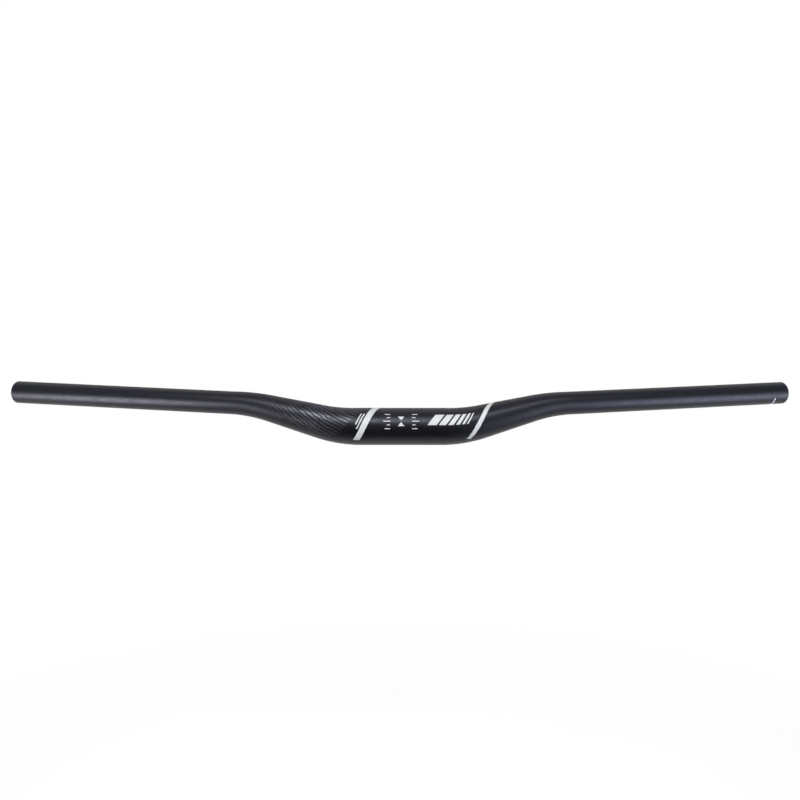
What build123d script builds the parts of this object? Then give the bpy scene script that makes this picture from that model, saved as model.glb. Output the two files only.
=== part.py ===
from build123d import *
import math
import os

# Driving dimensions, in millimetres and degrees.
bar_width = 780.0  # between the centres of the two end faces
clamp_diameter = 35.0  # the straight middle, which a stem closes on
clamp_length = 80.0
clamp_wall = 2.5
grip_diameter = 22.2  # the straight ends, which grips and levers slide onto
grip_wall = 1.9
rise = 32.5  # from the clamp's axis up to the centres of the end faces
riser_climb = 14.0  # slope of each riser, seen from the front
upsweep = 2.65  # slope of each grip, seen from the front
backsweep = 10.0  # how far each side is swept back, seen from above
inner_bend_radius = 120.0  # at the tube's axis, beside the clamp
outer_bend_radius = 190.0  # at the tube's axis, before the grip
end_round = 0.6  # on the outer edge of each cut end
taper_steps = 6  # sections that shape the swaged taper

# Directions of the right-hand side's three straight lengths, per millimetre along X.
back = math.tan(math.radians(backsweep))
clamp_way = Vector(1, 0, 0)
riser_way = Vector(1, back, math.tan(math.radians(riser_climb)))
grip_way = Vector(1, back, math.tan(math.radians(upsweep)))

# Corners where those lengths would meet, and how far each bend starts before its corner.
inner_turn = math.radians(clamp_way.get_angle(riser_way))
outer_turn = math.radians(riser_way.get_angle(grip_way))
inner_setback = inner_bend_radius * math.tan(inner_turn / 2)
outer_setback = outer_bend_radius * math.tan(outer_turn / 2)
clamp_end = Vector(clamp_length / 2, 0, 0)
inner_corner = clamp_end + clamp_way * inner_setback
outboard = bar_width / 2 - inner_corner.X
riser_run = (rise - outboard * grip_way.Z) / (riser_way.Z - grip_way.Z)
outer_corner = inner_corner + riser_way * riser_run
end_centre = outer_corner + grip_way * (outboard - riser_run)

# The axis of the tapered length: inner bend, straight riser, outer bend.
riser_start = inner_corner + riser_way.normalized() * inner_setback
riser_end = outer_corner - riser_way.normalized() * outer_setback
grip_start = outer_corner + grip_way.normalized() * outer_setback
grip_length = (end_centre - grip_start).length
taper_axis = Wire(
    [
        TangentArc(clamp_end, riser_start, tangent=clamp_way).edge(),
        Line(riser_start, riser_end).edge(),
        TangentArc(riser_end, grip_start, tangent=riser_way).edge(),
    ]
)


def taper_radius(along, clamp_radius, grip_radius):
    """Radius at a share of the tapered length: a cone that eases out of both straight lengths."""
    eased = along**2 * (3 - 2 * along)
    return clamp_radius + (grip_radius - clamp_radius) * (along + eased) / 2


def tapered_length(clamp_radius, grip_radius):
    """The bent and swaged length from the clamp to the grip, on the right-hand side."""
    sections = []
    for step in range(taper_steps + 1):
        along = step / taper_steps
        way = taper_axis.tangent_at(along)
        level = Vector(0, 0, 1).cross(way)
        plane = Plane(taper_axis.position_at(along), x_dir=level, z_dir=way)
        sections.append(plane * Circle(taper_radius(along, clamp_radius, grip_radius)))
    return sweep(sections, path=taper_axis, multisection=True)


def bar_form(clamp_radius, grip_radius):
    """The whole bar as a solid rod with these radii at the clamp and at the grips."""
    clamp = Plane.YZ * Cylinder(clamp_radius, clamp_length)
    grip = extrude(Plane(grip_start, z_dir=grip_way) * Circle(grip_radius), grip_length)
    side = tapered_length(clamp_radius, grip_radius) + grip
    return clamp + side + mirror(side, about=Plane.YZ)


def handlebar():
    """One butted tube: an outer rod with rounded ends, less the rod that its bore would hold."""
    outside = bar_form(clamp_diameter / 2, grip_diameter / 2)
    rims = outside.edges().filter_by(GeomType.CIRCLE).sort_by(Axis.X)
    outside = fillet([rims[0], rims[-1]], end_round)
    bore = bar_form(clamp_diameter / 2 - clamp_wall, grip_diameter / 2 - grip_wall)
    return outside - bore


os.makedirs("parts", exist_ok=True)
export_step(handlebar(), "parts/handlebar.step")
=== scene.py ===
import math

import bmesh
import bpy
from mathutils import Euler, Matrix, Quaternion, Vector


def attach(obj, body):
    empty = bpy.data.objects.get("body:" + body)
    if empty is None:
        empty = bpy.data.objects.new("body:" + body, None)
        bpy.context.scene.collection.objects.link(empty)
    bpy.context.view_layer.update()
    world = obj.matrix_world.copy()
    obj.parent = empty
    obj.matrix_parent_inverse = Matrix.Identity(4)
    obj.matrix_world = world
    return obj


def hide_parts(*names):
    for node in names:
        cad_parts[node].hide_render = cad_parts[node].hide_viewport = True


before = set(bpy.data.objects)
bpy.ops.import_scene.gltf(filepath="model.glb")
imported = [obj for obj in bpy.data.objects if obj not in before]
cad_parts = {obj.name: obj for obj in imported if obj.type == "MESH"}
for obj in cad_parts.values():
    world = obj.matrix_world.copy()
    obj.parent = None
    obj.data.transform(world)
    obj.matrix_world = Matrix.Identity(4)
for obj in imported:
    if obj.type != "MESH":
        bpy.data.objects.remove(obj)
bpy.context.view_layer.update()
print("frame loaded:", ", ".join(sorted(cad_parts)))

mmPerMetre = 1000  # the tube is set out in metres, its print in mm

# The tube, in metres and degrees, the same sizes as the solid's.
tubeForm = {
    "width": 0.780,  # between the middles of the two cut ends
    "clampLength": 0.080,
    "clampRadius": 0.0175,
    "clampWall": 0.0025,
    "gripRadius": 0.0111,
    "gripWall": 0.0019,
    "rise": 0.0325,
    "riserClimb": 14.0,
    "upsweep": 2.65,
    "backsweep": 10.0,
    "innerBend": 0.120,  # radii at the tube's axis
    "outerBend": 0.190,
    "endRound": 0.0006,
    "columns": 96,  # faces round the tube
    "bendStep": 0.0024,  # ring spacing where the tube bends, tapers or is printed
    "straightStep": 0.006,
    "boreStep": 0.008,
    "rimRings": 5,
    "cutRings": 2,
    "weldGap": 0.000001,
}


def heading(backsweep, climb):
    return Vector((1, math.tan(math.radians(backsweep)), math.tan(math.radians(climb))))


def straightRun(start, end):
    return {"start": start, "way": (end - start).normalized(), "length": (end - start).length}


def bendRun(start, way, nextWay, radius):
    way = way.normalized()
    lean = (nextWay - way * nextWay.dot(way)).normalized()
    length = radius * way.angle(nextWay)
    return {"start": start, "way": way, "lean": lean, "radius": radius, "length": length}


def layAxis(form):
    # the right half's axis: clamp, inner bend, riser, outer bend, grip
    clampWay = heading(0, 0)
    riserWay = heading(form["backsweep"], form["riserClimb"])
    gripWay = heading(form["backsweep"], form["upsweep"])
    innerSetback = form["innerBend"] * math.tan(clampWay.angle(riserWay) / 2)
    outerSetback = form["outerBend"] * math.tan(riserWay.angle(gripWay) / 2)
    clampEnd = clampWay * form["clampLength"] / 2
    innerCorner = clampEnd + clampWay * innerSetback
    outboard = form["width"] / 2 - innerCorner.x
    riserReach = (form["rise"] - outboard * gripWay.z) / (riserWay.z - gripWay.z)
    outerCorner = innerCorner + riserWay * riserReach
    riserStart = innerCorner + riserWay.normalized() * innerSetback
    riserEnd = outerCorner - riserWay.normalized() * outerSetback
    gripStart = outerCorner + gripWay.normalized() * outerSetback
    endCentre = outerCorner + gripWay * (outboard - riserReach)
    return [
        straightRun(Vector((0, 0, 0)), clampEnd),
        bendRun(clampEnd, clampWay, riserWay, form["innerBend"]),
        straightRun(riserStart, riserEnd),
        bendRun(riserEnd, riserWay, gripWay, form["outerBend"]),
        straightRun(gripStart, endCentre),
    ]


axisRuns = layAxis(tubeForm)
runEnds = [sum(run["length"] for run in axisRuns[: i + 1]) for i in range(len(axisRuns))]
taperStart, _, _, taperEnd, halfLength = runEnds  # it thins from the clamp to the grip


def axisAt(along):
    # middle and heading of the tube, at a length along its axis from the middle of the clamp
    rest = min(abs(along), halfLength)
    for run in axisRuns:
        if rest <= run["length"]:
            break
        rest -= run["length"]
    rest = min(rest, run["length"])
    if "lean" in run:
        turn = rest / run["radius"]
        reach = run["way"] * math.sin(turn) + run["lean"] * (1 - math.cos(turn))
        middle = run["start"] + reach * run["radius"]
        way = run["way"] * math.cos(turn) + run["lean"] * math.sin(turn)
    else:
        middle = run["start"] + run["way"] * rest
        way = run["way"].copy()
    if along < 0:
        middle.x = -middle.x
        way = Vector((way.x, -way.y, -way.z))
    return middle, way


def taperAt(along, clampRadius, gripRadius):
    share = min(max((abs(along) - taperStart) / (taperEnd - taperStart), 0), 1)
    eased = share**2 * (3 - 2 * share)
    return clampRadius + (gripRadius - clampRadius) * (share + eased) / 2


def skinRadius(along):
    return taperAt(along, tubeForm["clampRadius"], tubeForm["gripRadius"])


def boreRadius(along):
    clampBore = tubeForm["clampRadius"] - tubeForm["clampWall"]
    return taperAt(along, clampBore, tubeForm["gripRadius"] - tubeForm["gripWall"])


# The tube's wall is one long sheet: out along the skin, round the rim, over the cut
# and back down the bore. A place on it is a run from the middle of the clamp
# and a turn in degrees, 0 in front and 90 on top.
skinEnd = halfLength - tubeForm["endRound"]
rimEnd = skinEnd + tubeForm["endRound"] * math.pi / 2
cutEnd = rimEnd + tubeForm["gripWall"] - tubeForm["endRound"]
sheetEnd = cutEnd + halfLength


def partAt(run):
    if abs(run) < skinEnd:
        return "skin"
    if abs(run) < rimEnd:
        return "rim"
    return "cut" if abs(run) < cutEnd else "bore"


def onTube(run, turn, part):
    # point and surface normal of a place on the sheet
    side = -1 if run < 0 else 1
    reach = abs(run)
    lean = 0
    if part == "skin":
        along = reach
        radius = skinRadius(along)
    elif part == "rim":
        lean = (reach - skinEnd) / tubeForm["endRound"]
        along = skinEnd + tubeForm["endRound"] * math.sin(lean)
        radius = tubeForm["gripRadius"] - tubeForm["endRound"] * (1 - math.cos(lean))
    elif part == "cut":
        lean = math.pi / 2
        along = halfLength
        radius = tubeForm["gripRadius"] - tubeForm["endRound"] - (reach - rimEnd)
    else:
        lean = math.pi
        along = halfLength - (reach - cutEnd)
        radius = boreRadius(along)
    middle, way = axisAt(side * along)
    front = way.cross(Vector((0, 0, 1))).normalized()
    up = front.cross(way)
    outward = front * math.cos(math.radians(turn)) + up * math.sin(math.radians(turn))
    normal = outward * math.cos(lean) + way * side * math.sin(lean)
    return middle + outward * radius, normal


# White print on the paint. Each mark is a ladder of rungs,
# and a rung is two places: mm along, degrees round.
printMarks = {
    "leftStripe": [[(-43.9, -44), (-38.35, -44)], [(-19.5, 128), (-12.55, 128)]],
    "rightStripe": [
        [(58.2, -46), (61.3, -51.5)],
        [(67.5, 0), (72.35, 0)],
        [(76.95, 40), (82.1, 40)],
        [(86.0, 75), (91.2, 75)],
        [(101.0, 128), (106.3, 128)],
    ],
    "cutGuide": [[(382.5, -150), (383.9, -150)], [(382.2, -28), (383.4, -28)]],
    "scaleMiddle": 18,  # the clamp's roll scale, about this turn
    "scalePitch": 11.5,
    "scaleDashes": [6.5, 3.2, 5.0],  # lengths in mm from the middle dash outwards
    "scaleReach": 10.0,  # mm from the bar's middle to the dashes
    "hairline": 0.75,  # mm
    "arrowWidth": 6.0,
    "arrowPoint": 0.1,
    "arrowTurns": [(3, 15), (33, 21)],  # base and point of the two index arrows
    "barsStart": 24.0,  # row of slanted bars beside the right stripe
    "barsFoot": 6,
    "barsHead": 40,
    "barsSlant": 0.23,  # mm along for a degree of turn
    "barWidths": [8.5, 6.5, 4.8, 3.4, 2.3, 1.4],
    "barGap": 1.9,
    "pinstripes": [(-2.9, -6, 44), (-5.7, 8, 44)],  # beside the left stripe: offset, foot, head
    "pinstripeWidth": 1.2,
}


def dashRungs(fromAlong, toAlong, turn, thick):
    half = math.degrees(thick / 2 / mmPerMetre / tubeForm["clampRadius"])
    return [[(fromAlong, edge), (toAlong, edge)] for edge in (turn - half, turn + half)]


def slantRungs(along, width, foot, head, slant):
    shift = slant * (head - foot)
    lower = [(along, foot), (along + width, foot)]
    upper = [(along + shift, head), (along + width + shift, head)]
    return [lower, upper]


def listMarks(marks):
    rows = [marks["leftStripe"], marks["rightStripe"], marks["cutGuide"]]
    for side in (-1, 1):
        for i, length in enumerate(marks["scaleDashes"]):
            ends = sorted((side * marks["scaleReach"], side * (marks["scaleReach"] + length)))
            for step in (-i, i) if i else (0,):
                turn = marks["scaleMiddle"] + step * marks["scalePitch"]
                rows.append(dashRungs(*ends, turn, marks["hairline"]))

    half = marks["arrowWidth"] / 2
    tip = marks["arrowPoint"] / 2
    for base, point in marks["arrowTurns"]:
        rungs = [[(-half, base), (half, base)], [(-tip, point), (tip, point)]]
        rows.append(sorted(rungs, key=lambda rung: rung[0][1]))

    along = marks["barsStart"]
    for width in marks["barWidths"]:
        rows.append(slantRungs(along, width, marks["barsFoot"], marks["barsHead"], marks["barsSlant"]))
        along += width + marks["barGap"]

    (footLeft, foot), _ = marks["leftStripe"][0]
    (headLeft, head), _ = marks["leftStripe"][1]
    slant = (headLeft - footLeft) / (head - foot)
    for offset, low, high in marks["pinstripes"]:
        start = footLeft + slant * (low - foot) + offset
        rows.append(slantRungs(start, marks["pinstripeWidth"], low, high, slant))
    return rows


# The sheet is flat while it is cut: x is the run, y the turn at the clamp's radius.
aroundScale = tubeForm["clampRadius"]


def flatPlace(along, turn):
    return Vector((along / mmPerMetre, math.radians(turn) * aroundScale, 0))


def cutMark(sheet, corners, margin, slot):
    # splits the sheet along a four-cornered mark and gives the inside the ink's slot
    low = Vector(map(min, *corners)) - Vector((margin, margin, 0))
    high = Vector(map(max, *corners)) + Vector((margin, margin, 0))
    near = []
    for face in sheet.faces:
        middle = face.calc_center_median()
        if low.x <= middle.x <= high.x and low.y <= middle.y <= high.y:
            near.append(face)
    pieces = set(near)
    for face in near:
        pieces.update(face.edges)
        pieces.update(face.verts)
    pieces = list(pieces)
    ring = corners[1:] + corners[:1]
    outside = [Vector((b.y - a.y, a.x - b.x, 0)).normalized() for a, b in zip(corners, ring)]
    for start, normal in zip(corners, outside):
        pieces = bmesh.ops.bisect_plane(
            sheet, geom=pieces, dist=tubeForm["weldGap"], plane_co=start, plane_no=normal
        )["geom"]
    count = 0
    for face in pieces:
        if not isinstance(face, bmesh.types.BMFace):
            continue
        middle = face.calc_center_median()
        if all((middle - start).dot(normal) <= 0 for start, normal in zip(corners, outside)):
            face.material_index = slot
            count += 1
    return count


def spaced(start, end, step):
    slack = 1e-6  # of a step, against rounding
    count = max(1, math.ceil((end - start) / step - slack))
    return [start + (end - start) * i / count for i in range(count)]


# The map for baking lays the skin out in three lengths,
# with the bore and the cuts squeezed in beside them.
bakeMap = {
    "length": (2 * rimEnd) / 3,
    "skin": [(0.002, 0.258), (0.266, 0.622), (0.630, 0.886)],  # left grip, middle, right grip
    "bore": [(0.894, 0.930), (0.938, 0.974)],
    "cut": [(0.980, 0.986), (0.992, 0.998)],
    "edge": 0.004,
}


def bakePlace(run, turn, part, middleRun):
    share = turn / 360 + 0.5
    if part in ("skin", "rim"):
        row = min(int((middleRun + rimEnd) / bakeMap["length"]), len(bakeMap["skin"]) - 1)
        low, high = bakeMap["skin"][row]
        across = (run + rimEnd) / bakeMap["length"] - row
        up = low + (high - low) * share
    elif part == "cut":
        low, high = bakeMap["cut"][middleRun > 0]
        across = share
        up = low + (high - low) * (abs(run) - rimEnd) / (cutEnd - rimEnd)
    else:
        low, high = bakeMap["bore"][middleRun > 0]
        across = (abs(run) - cutEnd) / (sheetEnd - cutEnd)
        up = low + (high - low) * share
    return bakeMap["edge"] + across * (1 - 2 * bakeMap["edge"]), up


def sheetRuns(form):
    # ring places of the right half, from the middle of the clamp outwards
    mapCut = bakeMap["length"] / 2  # a ring where the map's middle length ends
    skin = spaced(0, mapCut, form["bendStep"]) + spaced(mapCut, taperEnd, form["bendStep"])
    skin += spaced(taperEnd, skinEnd, form["straightStep"])
    rim = spaced(skinEnd, rimEnd, (rimEnd - skinEnd) / form["rimRings"])
    cut = spaced(rimEnd, cutEnd, (cutEnd - rimEnd) / form["cutRings"])
    return skin + rim + cut + spaced(cutEnd, sheetEnd, form["boreStep"]) + [sheetEnd]


def trueNormals(mesh):
    # the form's own normals, so that the cuts for the print don't show in the gloss
    places = mesh.uv_layers["printSheet"].data
    normals = [None] * len(mesh.loops)
    for face in mesh.polygons:
        part = partAt(sum(places[i].uv.x for i in face.loop_indices) / face.loop_total / mmPerMetre)
        for i in face.loop_indices:
            run, around = places[i].uv
            turn = math.degrees(around / mmPerMetre / aroundScale)
            normals[i] = onTube(run / mmPerMetre, turn, part)[1]
    return normals


def buildTube(name, finishes):
    slots = list(finishes)
    sheet = bmesh.new()
    half = sheetRuns(tubeForm)
    runs = [-run for run in reversed(half[1:])] + half
    turns = [-180 + 360 * i / tubeForm["columns"] for i in range(tubeForm["columns"] + 1)]
    grid = [[sheet.verts.new(flatPlace(run * mmPerMetre, turn)) for turn in turns] for run in runs]
    for low, high in zip(grid, grid[1:]):
        for i in range(tubeForm["columns"]):
            sheet.faces.new((low[i], high[i], high[i + 1], low[i + 1]))
    print("flat sheet:", len(sheet.faces), "faces")

    inked = 0
    for rungs in listMarks(printMarks):
        for lower, upper in zip(rungs, rungs[1:]):
            corners = [flatPlace(*place) for place in (*lower, *reversed(upper))]
            inked += cutMark(sheet, corners, tubeForm["straightStep"], slots.index("ink"))
    print("print cut in:", inked, "inked faces")

    printMap = sheet.loops.layers.uv.new("printSheet")  # mm along, mm round at the clamp
    layout = sheet.loops.layers.uv.new("OFBake")
    for face in sheet.faces:
        middleRun = face.calc_center_median().x
        part = partAt(middleRun)
        face.smooth = True
        if part in ("cut", "bore"):
            face.material_index = slots.index(part)
        for loop in face.loops:
            run, around, _ = loop.vert.co
            loop[printMap].uv = (run * mmPerMetre, around * mmPerMetre)
            loop[layout].uv = bakePlace(run, math.degrees(around / aroundScale), part, middleRun)
    for vert in sheet.verts:
        run, around, _ = vert.co
        vert.co = onTube(run, math.degrees(around / aroundScale), partAt(run))[0]
    # closes the seam and the middle of the bore
    bmesh.ops.remove_doubles(sheet, verts=sheet.verts, dist=tubeForm["weldGap"])

    mesh = bpy.data.meshes.new(name)
    sheet.to_mesh(mesh)
    sheet.free()
    for material in finishes.values():
        mesh.materials.append(material)
    mesh.normals_split_custom_set(trueNormals(mesh))
    tube = bpy.data.objects.new(name, mesh)
    bpy.context.scene.collection.objects.link(tube)
    return tube


def newFinish(name):
    material = bpy.data.materials.new(name)
    material.use_nodes = True
    tree = material.node_tree
    return material, tree, tree.nodes["Principled BSDF"]


def feed(tree, socket, value):
    if isinstance(value, bpy.types.NodeSocket):
        tree.links.new(value, socket)
    else:
        socket.default_value = value


def calc(tree, operation, *values):
    node = tree.nodes.new("ShaderNodeMath")
    node.operation = operation
    for socket, value in zip(node.inputs, values):
        feed(tree, socket, value)
    return node.outputs[0]


def ease(tree, value, low, high, fromTo=(0.0, 1.0)):
    node = tree.nodes.new("ShaderNodeMapRange")
    node.interpolation_type = "SMOOTHSTEP"
    feed(tree, node.inputs["Value"], value)
    node.inputs["From Min"].default_value = low
    node.inputs["From Max"].default_value = high
    node.inputs["To Min"].default_value, node.inputs["To Max"].default_value = fromTo
    return node.outputs["Result"]


noiseSpan = (0.3, 0.7)  # where nearly all of the noise lies


def speckle(tree, place, size, detail=2.0, stretch=None):
    # soft noise with blobs of about this size
    if stretch:
        mapping = tree.nodes.new("ShaderNodeMapping")
        mapping.inputs["Scale"].default_value = stretch
        tree.links.new(place, mapping.inputs["Vector"])
        place = mapping.outputs["Vector"]
    node = tree.nodes.new("ShaderNodeTexNoise")
    node.inputs["Scale"].default_value = 1 / size
    node.inputs["Detail"].default_value = detail
    tree.links.new(place, node.inputs["Vector"])
    return node.outputs[0]


def blendTones(tree, share, first, second):
    node = tree.nodes.new("ShaderNodeMix")
    node.data_type = "RGBA"
    feed(tree, node.inputs[0], share)
    for socket, tone in ((node.inputs[6], first), (node.inputs[7], second)):  # its two colours
        feed(tree, socket, tone if isinstance(tone, bpy.types.NodeSocket) else (*tone, 1))
    return node.outputs[2]


def bumpOf(tree, height, depth, under=None):
    node = tree.nodes.new("ShaderNodeBump")
    node.inputs["Strength"].default_value = 1.0
    node.inputs["Distance"].default_value = depth
    feed(tree, node.inputs["Height"], height)
    if under:
        tree.links.new(under, node.inputs["Normal"])
    return node.outputs["Normal"]


def objectPlace(tree):
    return tree.nodes.new("ShaderNodeTexCoord").outputs["Object"]


def sheetPlace(tree):
    # mm along the tube and mm round it
    node = tree.nodes.new("ShaderNodeUVMap")
    node.uv_map = "printSheet"
    split = tree.nodes.new("ShaderNodeSeparateXYZ")
    tree.links.new(node.outputs["UV"], split.inputs[0])
    return node.outputs["UV"], split.outputs["X"], split.outputs["Y"]


# Satin black paint with a woven look printed into it over the left bend.
paintFinish = {
    "tone": (0.0022, 0.0024, 0.0034),
    "worn": (0.0046, 0.0048, 0.0062),
    "specular": 0.42,
    "specularTint": (0.86, 0.86, 1.0, 1.0),
    "roughness": (0.35, 0.43),
    "mottle": 0.004,  # metres, the sheen's soft unevenness
    "mottleRoughness": (-0.04, 0.04),
    "grain": 0.0006,
    "grainDepth": 0.000004,
    "cloud": 0.045,
    "cloudEdges": (0.35, 0.7),
    "scuff": 0.6,  # mm wide, along the grips
    "scuffStretch": (0.02, 1.0, 1.0),
    "scuffEdges": (0.55, 0.75),
    "scuffRoughness": -0.05,
    "thread": 1.10,  # mm
    "threadAngle": 18,
    "threadRound": 3.0,
    "threadTones": [(0.003, 0.003, 0.004), (0.104, 0.106, 0.116)],
    "threadMetal": (0.24, 1.0),  # in the gaps and on the threads
    "threadRoughness": (0.41, 0.35),
    "threadDepth": 0.000015,
    "twill": (4.0, 2.0),  # threads to a repeat, and how many of them lie on top
    "underHeight": 0.5,  # of the threads that pass below
    "pull": (-95.0, -0.0026),  # mm, the cloth's lines turn steeper away from the clamp
    "wobble": 11.0,  # mm, and they drift a little
    "wobbleReach": 3.6,
    "streak": (12.0, 8.0),  # threads long and wide, some streaks shine more than others
    "sheenEdges": (0.34, 0.56),
    "sheenLevels": (0.30, 1.08),
    "paintedHighlightAlong": (-126.0, -66.0, 0.46, 1.60),  # mm from and to, and the sheen there: a painted highlight, the threads brighter towards the clamp
    "paintedShadeBelow": (-7.0, 2.0, 0.68, 1.0),  # mm round, from below the front: painted shade, the threads dimmer under the low band
    # painted shade: the threads dimmer towards the top
    "paintedShadeAbove": (13.0, 20.0, 1.0, 0.78),
    "weaveLeft": (125.0, 1.18, 8.0),  # mm: where it starts at the front, its slant, its feather
    "weaveRight": (-49.6, 0.845, 4.0),
    "weaveFoot": (-13.0, 5.0),
    "weaveHead": (39.0, 6.0),
}


def weaveOf(tree, sheet, along, around, look):
    # two-over-two twill: the threads' rounded faces, their sheen with its painted highlight and shade,
    # and where the weave is printed
    tilt = math.radians(look["threadAngle"])
    cosine = math.cos(tilt) / look["thread"]
    sine = math.sin(tilt) / look["thread"]
    taper = (mmPerMetre * taperStart, mmPerMetre * taperEnd)
    thinnest = skinRadius(halfLength) / skinRadius(0)
    narrow = ease(tree, calc(tree, "ABSOLUTE", along), *taper, (1.0, thinnest))
    drift = calc(tree, "SUBTRACT", speckle(tree, sheet, look["wobble"], detail=1.0), 0.5)
    drift = calc(tree, "MULTIPLY", drift, look["wobbleReach"])
    girth = calc(tree, "MULTIPLY_ADD", around, narrow, drift)  # threads keep their width down the taper
    middle, bend = look["pull"]
    pulled = calc(tree, "POWER", calc(tree, "SUBTRACT", along, middle), 2.0)
    length = calc(tree, "MULTIPLY_ADD", pulled, bend, along)
    across = calc(tree, "MULTIPLY_ADD", length, cosine, calc(tree, "MULTIPLY", girth, sine))
    upward = calc(tree, "MULTIPLY_ADD", girth, cosine, calc(tree, "MULTIPLY", length, -sine))

    repeat, over = look["twill"]
    step = calc(tree, "ADD", calc(tree, "FLOOR", across), calc(tree, "FLOOR", upward))
    onTop = calc(tree, "LESS_THAN", calc(tree, "FLOORED_MODULO", step, repeat), over - 0.5)
    faces = []
    for way in (across, upward):
        aside = calc(tree, "ABSOLUTE", calc(tree, "SUBTRACT", calc(tree, "FRACT", way), 0.5))
        fall = calc(tree, "MULTIPLY", calc(tree, "POWER", aside, 2.0), look["threadRound"])
        faces.append(calc(tree, "SUBTRACT", 1.0, fall))
    lower = calc(tree, "MULTIPLY", faces[1], calc(tree, "SUBTRACT", 1.0, onTop))
    raised = calc(tree, "MULTIPLY", faces[0], onTop)

    ribs = tree.nodes.new("ShaderNodeCombineXYZ")
    tree.links.new(calc(tree, "SUBTRACT", across, upward), ribs.inputs["X"])
    tree.links.new(calc(tree, "ADD", across, upward), ribs.inputs["Y"])
    long, wide = look["streak"]
    streak = speckle(tree, ribs.outputs[0], 1.0, stretch=(1 / long, 1 / wide, 1.0))
    shine = ease(tree, streak, *look["sheenEdges"], look["sheenLevels"])
    sheen = calc(tree, "MULTIPLY", raised, shine)
    # the threads' tone and metal are scaled along and round the tube: painted highlight towards the
    # clamp, painted shade below the front and towards the top
    for way, change in ((along, "paintedHighlightAlong"), (around, "paintedShadeBelow"), (around, "paintedShadeAbove")):
        low, high, *levels = look[change]
        sheen = calc(tree, "MULTIPLY", sheen, ease(tree, way, low, high, levels))

    start, slant, feather = look["weaveLeft"]
    inward = calc(tree, "ADD", along, calc(tree, "MULTIPLY", around, slant))
    left = ease(tree, inward, -start, -start + feather)
    end, slant, feather = look["weaveRight"]
    outward = calc(tree, "SUBTRACT", calc(tree, "MULTIPLY", around, slant), along)
    right = ease(tree, outward, -end, -end + feather)
    foot = ease(tree, around, look["weaveFoot"][0], sum(look["weaveFoot"]))
    head = ease(tree, around, look["weaveHead"][0] - look["weaveHead"][1], look["weaveHead"][0])
    shown = calc(tree, "MULTIPLY", calc(tree, "MULTIPLY", left, right), foot)
    shown = calc(tree, "MULTIPLY", shown, calc(tree, "SUBTRACT", 1.0, head))
    relief = calc(tree, "MULTIPLY_ADD", lower, look["underHeight"], raised)
    return relief, sheen, shown


def satinPaint(look):
    material, tree, shader = newFinish("satin_paint")
    place = objectPlace(tree)
    sheet, along, around = sheetPlace(tree)
    cloud = speckle(tree, place, look["cloud"], detail=3.0)
    grain = speckle(tree, place, look["grain"], detail=3.0)
    scuff = speckle(tree, sheet, look["scuff"], detail=4.0, stretch=look["scuffStretch"])
    relief, sheen, shown = weaveOf(tree, sheet, along, around, look)

    plain = blendTones(tree, ease(tree, cloud, *look["cloudEdges"]), look["tone"], look["worn"])
    # the threads' tone and metal follow their sheen, painted highlight and shade included
    woven = blendTones(tree, sheen, *look["threadTones"])
    tree.links.new(blendTones(tree, shown, plain, woven), shader.inputs["Base Color"])

    metal = ease(tree, sheen, 0.0, 1.0, look["threadMetal"])
    tree.links.new(calc(tree, "MULTIPLY", metal, shown), shader.inputs["Metallic"])

    satin = ease(tree, grain, *noiseSpan, look["roughness"])
    polish = ease(tree, scuff, *look["scuffEdges"], (0.0, look["scuffRoughness"]))
    satin = calc(tree, "ADD", satin, polish)
    mottle = speckle(tree, place, look["mottle"], detail=3.0)
    satin = calc(tree, "ADD", satin, ease(tree, mottle, *noiseSpan, look["mottleRoughness"]))
    thread = ease(tree, sheen, 0.0, 1.0, look["threadRoughness"])
    mixed = calc(tree, "MULTIPLY_ADD", calc(tree, "SUBTRACT", thread, satin), shown, satin)
    tree.links.new(mixed, shader.inputs["Roughness"])

    fine = bumpOf(tree, grain, look["grainDepth"])
    threads = bumpOf(tree, calc(tree, "MULTIPLY", relief, shown), look["threadDepth"], fine)
    tree.links.new(threads, shader.inputs["Normal"])
    shader.inputs["Specular IOR Level"].default_value = look["specular"]
    shader.inputs["Specular Tint"].default_value = look["specularTint"]
    return material


inkFinish = {
    "tone": (0.81, 0.815, 0.82),
    "thinTone": (0.71, 0.715, 0.72),
    "roughness": (0.42, 0.55),
    "patch": 0.006,
    "patchEdges": (0.45, 0.75),
    "grain": 0.0005,
    "grainEdges": (0.35, 0.65),
    "grainDepth": 0.000008,
}


def printInk(look):
    material, tree, shader = newFinish("print_ink")
    place = objectPlace(tree)
    patch = speckle(tree, place, look["patch"], detail=4.0)
    grain = speckle(tree, place, look["grain"])
    patchy = ease(tree, patch, *look["patchEdges"])
    thin = calc(tree, "MULTIPLY", patchy, ease(tree, grain, *look["grainEdges"]))
    tone = blendTones(tree, thin, look["tone"], look["thinTone"])
    tree.links.new(tone, shader.inputs["Base Color"])
    tree.links.new(ease(tree, grain, *noiseSpan, look["roughness"]), shader.inputs["Roughness"])
    tree.links.new(bumpOf(tree, grain, look["grainDepth"]), shader.inputs["Normal"])
    return material


cutFinish = {
    "tone": (0.72, 0.73, 0.75),
    "dull": (0.50, 0.51, 0.53),
    "roughness": (0.24, 0.42),
    "smear": 2.0,  # mm
    "smearStretch": (6.0, 0.5, 1.0),
    "smearEdges": (0.4, 0.7),
    "groove": 0.16,  # mm between the saw's and file's rings
    "grooveDepth": 0.00001,
}


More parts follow.
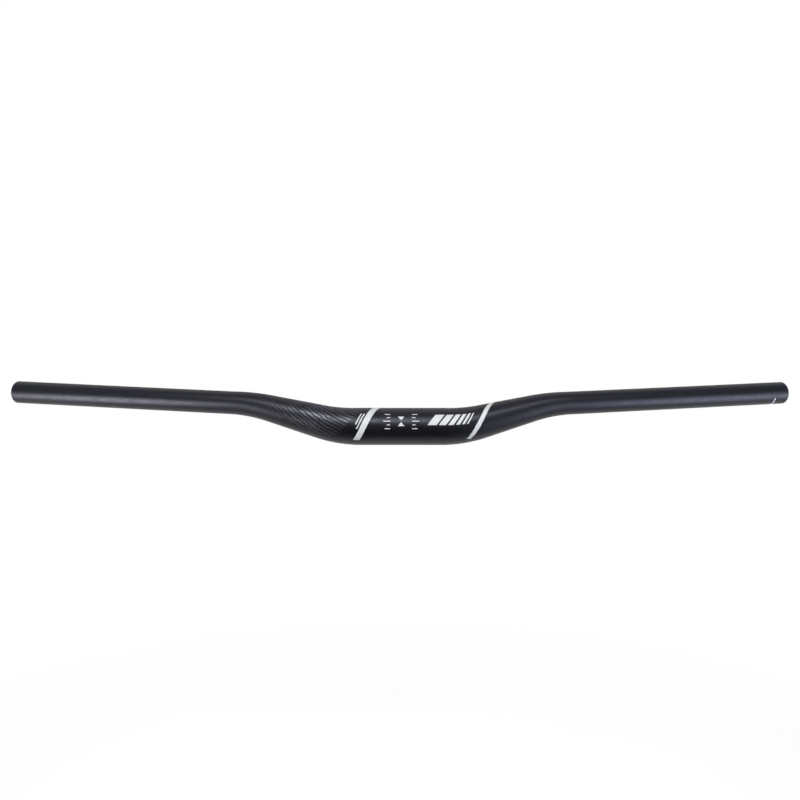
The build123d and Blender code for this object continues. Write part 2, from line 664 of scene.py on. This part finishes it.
def cutAlloy(look):
    material, tree, shader = newFinish("cut_alloy")
    sheet, along, _ = sheetPlace(tree)
    rings = calc(tree, "SINE", calc(tree, "MULTIPLY", along, 2 * math.pi / look["groove"]))
    smear = speckle(tree, sheet, look["smear"], detail=4.0, stretch=look["smearStretch"])
    tone = blendTones(tree, ease(tree, smear, *look["smearEdges"]), look["tone"], look["dull"])
    tree.links.new(tone, shader.inputs["Base Color"])
    tree.links.new(ease(tree, smear, *noiseSpan, look["roughness"]), shader.inputs["Roughness"])
    tree.links.new(bumpOf(tree, rings, look["grooveDepth"]), shader.inputs["Normal"])
    shader.inputs["Metallic"].default_value = 1.0
    return material


boreFinish = {
    "tone": (0.44, 0.45, 0.46),
    "dull": (0.26, 0.265, 0.27),
    "roughness": (0.40, 0.62),
    "cloud": 0.02,
    "cloudEdges": (0.35, 0.7),
    "drawLine": 0.9,  # mm round the bore
    "drawStretch": (0.015, 1.0, 1.0),
    "drawDepth": 0.00002,
}


def drawnAlloy(look):
    material, tree, shader = newFinish("drawn_alloy")
    sheet, _, _ = sheetPlace(tree)
    lines = speckle(tree, sheet, look["drawLine"], detail=4.0, stretch=look["drawStretch"])
    cloud = speckle(tree, objectPlace(tree), look["cloud"], detail=3.0)
    tone = blendTones(tree, ease(tree, cloud, *look["cloudEdges"]), look["tone"], look["dull"])
    tree.links.new(tone, shader.inputs["Base Color"])
    tree.links.new(ease(tree, lines, *noiseSpan, look["roughness"]), shader.inputs["Roughness"])
    tree.links.new(bumpOf(tree, lines, look["drawDepth"]), shader.inputs["Normal"])
    shader.inputs["Metallic"].default_value = 1.0
    return material


barFinishes = {
    "paint": satinPaint(paintFinish),
    "ink": printInk(inkFinish),
    "cut": cutAlloy(cutFinish),
    "bore": drawnAlloy(boreFinish),
}
print("finishes made:", ", ".join(finish.name for finish in barFinishes.values()))

barTube = buildTube("bar_tube", barFinishes)
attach(barTube, "root")
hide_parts("handlebar")
print("tube built:", len(barTube.data.polygons), "faces")

# Camera, level and square to the bar, fitted to the photograph's frame.
photoCamera = {
    "place": (-0.003661, -0.658416, 0.024763),
    "turn": 0.234,  # degrees towards the right grip
    "roll": 0.052,
    "lens": 31.55,
    "sensor": 36,
    "clip": (0.01, 100),
}


def addCamera(view):
    data = bpy.data.cameras.new("photo_camera")
    data.lens = view["lens"]
    data.sensor_width = view["sensor"]
    data.clip_start, data.clip_end = view["clip"]
    camera = bpy.data.objects.new("photo_camera", data)
    bpy.context.scene.collection.objects.link(camera)
    camera.location = view["place"]
    facing = Euler((math.radians(90), 0, math.radians(-view["turn"]))).to_matrix()
    roll = Euler((0, 0, math.radians(view["roll"]))).to_matrix()
    camera.rotation_euler = (facing @ roll).to_euler()
    bpy.context.scene.camera = camera


addCamera(photoCamera)
print("camera set")

studioFloor = {
    "drop": -0.50,  # metres below the clamp
    "front": -0.10,
    "back": 6.0,
    "side": 5.0,
    "paper": (0.86, 0.86, 0.86),
    "roughness": 0.9,
    "specular": 0.1,
    "lift": 0.62,  # white added for the camera near the bar, little enough to leave its shadow
    "fadeEdges": (0.60, 1.20),  # metres from the bar where it turns to plain white
}


def backdropShare(tree):
    # 1 for what the camera sees, also in a reflection
    rays = tree.nodes.new("ShaderNodeLightPath").outputs
    seen = calc(tree, "MAXIMUM", rays["Is Camera Ray"], rays["Is Glossy Ray"])
    return calc(tree, "MAXIMUM", seen, rays["Is Transmission Ray"])


def addFloor(look):
    corners = [(-look["side"], look["front"]), (look["side"], look["front"])]
    corners += [(look["side"], look["back"]), (-look["side"], look["back"])]
    mesh = bpy.data.meshes.new("studio_floor")
    mesh.from_pydata([(x, y, look["drop"]) for x, y in corners], [], [(0, 1, 2, 3)])
    floor = bpy.data.objects.new("studio_floor", mesh)
    bpy.context.scene.collection.objects.link(floor)
    material, tree, shader = newFinish("floor_paper")
    shader.inputs["Base Color"].default_value = (*look["paper"], 1)
    shader.inputs["Roughness"].default_value = look["roughness"]
    shader.inputs["Specular IOR Level"].default_value = look["specular"]
    away = tree.nodes.new("ShaderNodeVectorMath")
    away.operation = "LENGTH"
    tree.links.new(objectPlace(tree), away.inputs[0])
    far = ease(tree, away.outputs["Value"], *look["fadeEdges"])
    share = backdropShare(tree)
    glow = tree.nodes.new("ShaderNodeEmission")
    tree.links.new(calc(tree, "MULTIPLY", share, look["lift"]), glow.inputs["Strength"])
    lifted = tree.nodes.new("ShaderNodeAddShader")
    tree.links.new(shader.outputs[0], lifted.inputs[0])
    tree.links.new(glow.outputs[0], lifted.inputs[1])
    white = tree.nodes.new("ShaderNodeEmission")
    mix = tree.nodes.new("ShaderNodeMixShader")
    tree.links.new(calc(tree, "MULTIPLY", share, far), mix.inputs[0])
    tree.links.new(lifted.outputs[0], mix.inputs[1])
    tree.links.new(white.outputs[0], mix.inputs[2])
    tree.links.new(mix.outputs[0], tree.nodes["Material Output"].inputs["Surface"])
    mesh.materials.append(material)


addFloor(studioFloor)
print("floor laid")

# Soft boxes: place and target, width and height in metres, power in watts, roll and spread in degrees.
studioLamps = {
    "low_left": {
        "place": (-0.714, -0.356, -0.251),
        "target": (-0.386, 0.05, 0.018),
        "size": (0.28, 0.66),
        "power": 1.10,
        "tone": (0.97, 0.975, 1.0),
        "roll": -34,
        "spread": 64,
    },
    "low_right": {
        "place": (0.847, -0.24, -0.10),
        "target": (0.52, 0.05, 0.09),
        "size": (0.80, 0.80),
        "power": 1.82,
        "tone": (0.82, 0.875, 1.0),
        "roll": 31,
        "spread": 65,
    },
    "high_middle": {
        "place": (0.0, -0.80, 0.62),
        "target": (0.0, 0.0, 0.0),
        "size": (0.50, 0.20),
        "power": 4.0,
        "tone": (0.98, 0.99, 1.0),
    },
    "high_left": {
        "place": (-0.42, -0.74, 0.76),
        "target": (-0.10, 0.0, 0.02),
        "size": (0.35, 0.20),
        "power": 2.6,
        "tone": (0.98, 0.99, 1.0),
    },
    "high_right": {
        "place": (0.42, -0.74, 0.76),
        "target": (0.10, 0.0, 0.02),
        "size": (0.35, 0.20),
        "power": 1.5,
        "tone": (0.98, 0.99, 1.0),
    },
    "rear": {
        "place": (0.0, 1.05, 0.28),
        "target": (0.0, 0.0, 0.02),
        "size": (1.60, 0.22),
        "power": 3.6,
        "tone": (1.0, 1.0, 1.0),
    },
}


def addLamp(name, place, target, size, power, tone, roll=0, spread=180):
    data = bpy.data.lights.new(name, "AREA")
    data.shape = "RECTANGLE"
    data.size, data.size_y = size
    data.spread = math.radians(spread)
    data.energy = power
    data.color = tone
    lamp = bpy.data.objects.new(name, data)
    bpy.context.scene.collection.objects.link(lamp)
    lamp.location = place
    aim = (Vector(target) - Vector(place)).to_track_quat("-Z", "Y")
    lamp.rotation_euler = (aim @ Quaternion((0, 0, 1), math.radians(roll))).to_euler()
    lamp.visible_camera = False


for lampName, setting in studioLamps.items():
    addLamp(lampName, **setting)
print("lamps:", ", ".join(studioLamps))

studioRoom = {
    "ambient": 0.12,  # lights the shaded sides
    "aside": 0.46,  # what the gloss shows of the room beside and above the camera
    "shade": 0.03,  # and of the dark patch below the camera
    "shadeWay": (0.0, -0.87, -0.50),
    "shadeEdges": (0.75, 0.95),
    "backdropEdges": (-0.15, 0.45),  # how far round to the front the pale backdrop reaches
    "backdropRise": (0.40, 0.85),  # the gloss shows it darker near the horizon than overhead
    "backdropLevels": (0.35, 1.0),
    "frontTone": (0.84, 0.88, 1.0),  # the room in front is a little blue in the gloss
}


def addRoom(room):
    world = bpy.data.worlds.new("studio_room")
    world.use_nodes = True
    bpy.context.scene.world = world
    tree = world.node_tree
    way = tree.nodes.new("ShaderNodeTexCoord").outputs["Generated"]
    toShade = tree.nodes.new("ShaderNodeVectorMath")
    toShade.operation = "DOT_PRODUCT"
    toShade.inputs[1].default_value = room["shadeWay"]
    tree.links.new(way, toShade.inputs[0])
    split = tree.nodes.new("ShaderNodeSeparateXYZ")
    tree.links.new(way, split.inputs[0])
    inFront = ease(tree, toShade.outputs["Value"], *room["shadeEdges"], (room["aside"], room["shade"]))
    behind = ease(tree, split.outputs["Y"], *room["backdropEdges"])
    backdrop = ease(tree, split.outputs["Z"], *room["backdropRise"], room["backdropLevels"])
    mirrored = calc(tree, "MULTIPLY_ADD", behind, calc(tree, "SUBTRACT", backdrop, inFront), inFront)
    rays = tree.nodes.new("ShaderNodeLightPath").outputs
    glossy = calc(tree, "MAXIMUM", rays["Is Glossy Ray"], rays["Is Transmission Ray"])
    change = calc(tree, "SUBTRACT", mirrored, room["ambient"])
    level = calc(tree, "MULTIPLY_ADD", glossy, change, room["ambient"])
    level = calc(tree, "MAXIMUM", level, rays["Is Camera Ray"])
    background = tree.nodes["Background"]
    tint = calc(tree, "MULTIPLY", glossy, calc(tree, "SUBTRACT", 1.0, behind))
    tree.links.new(blendTones(tree, tint, (1, 1, 1), room["frontTone"]), background.inputs["Color"])
    tree.links.new(level, background.inputs["Strength"])


addRoom(studioRoom)
bpy.context.scene.view_settings.view_transform = "Standard"
print("room set")
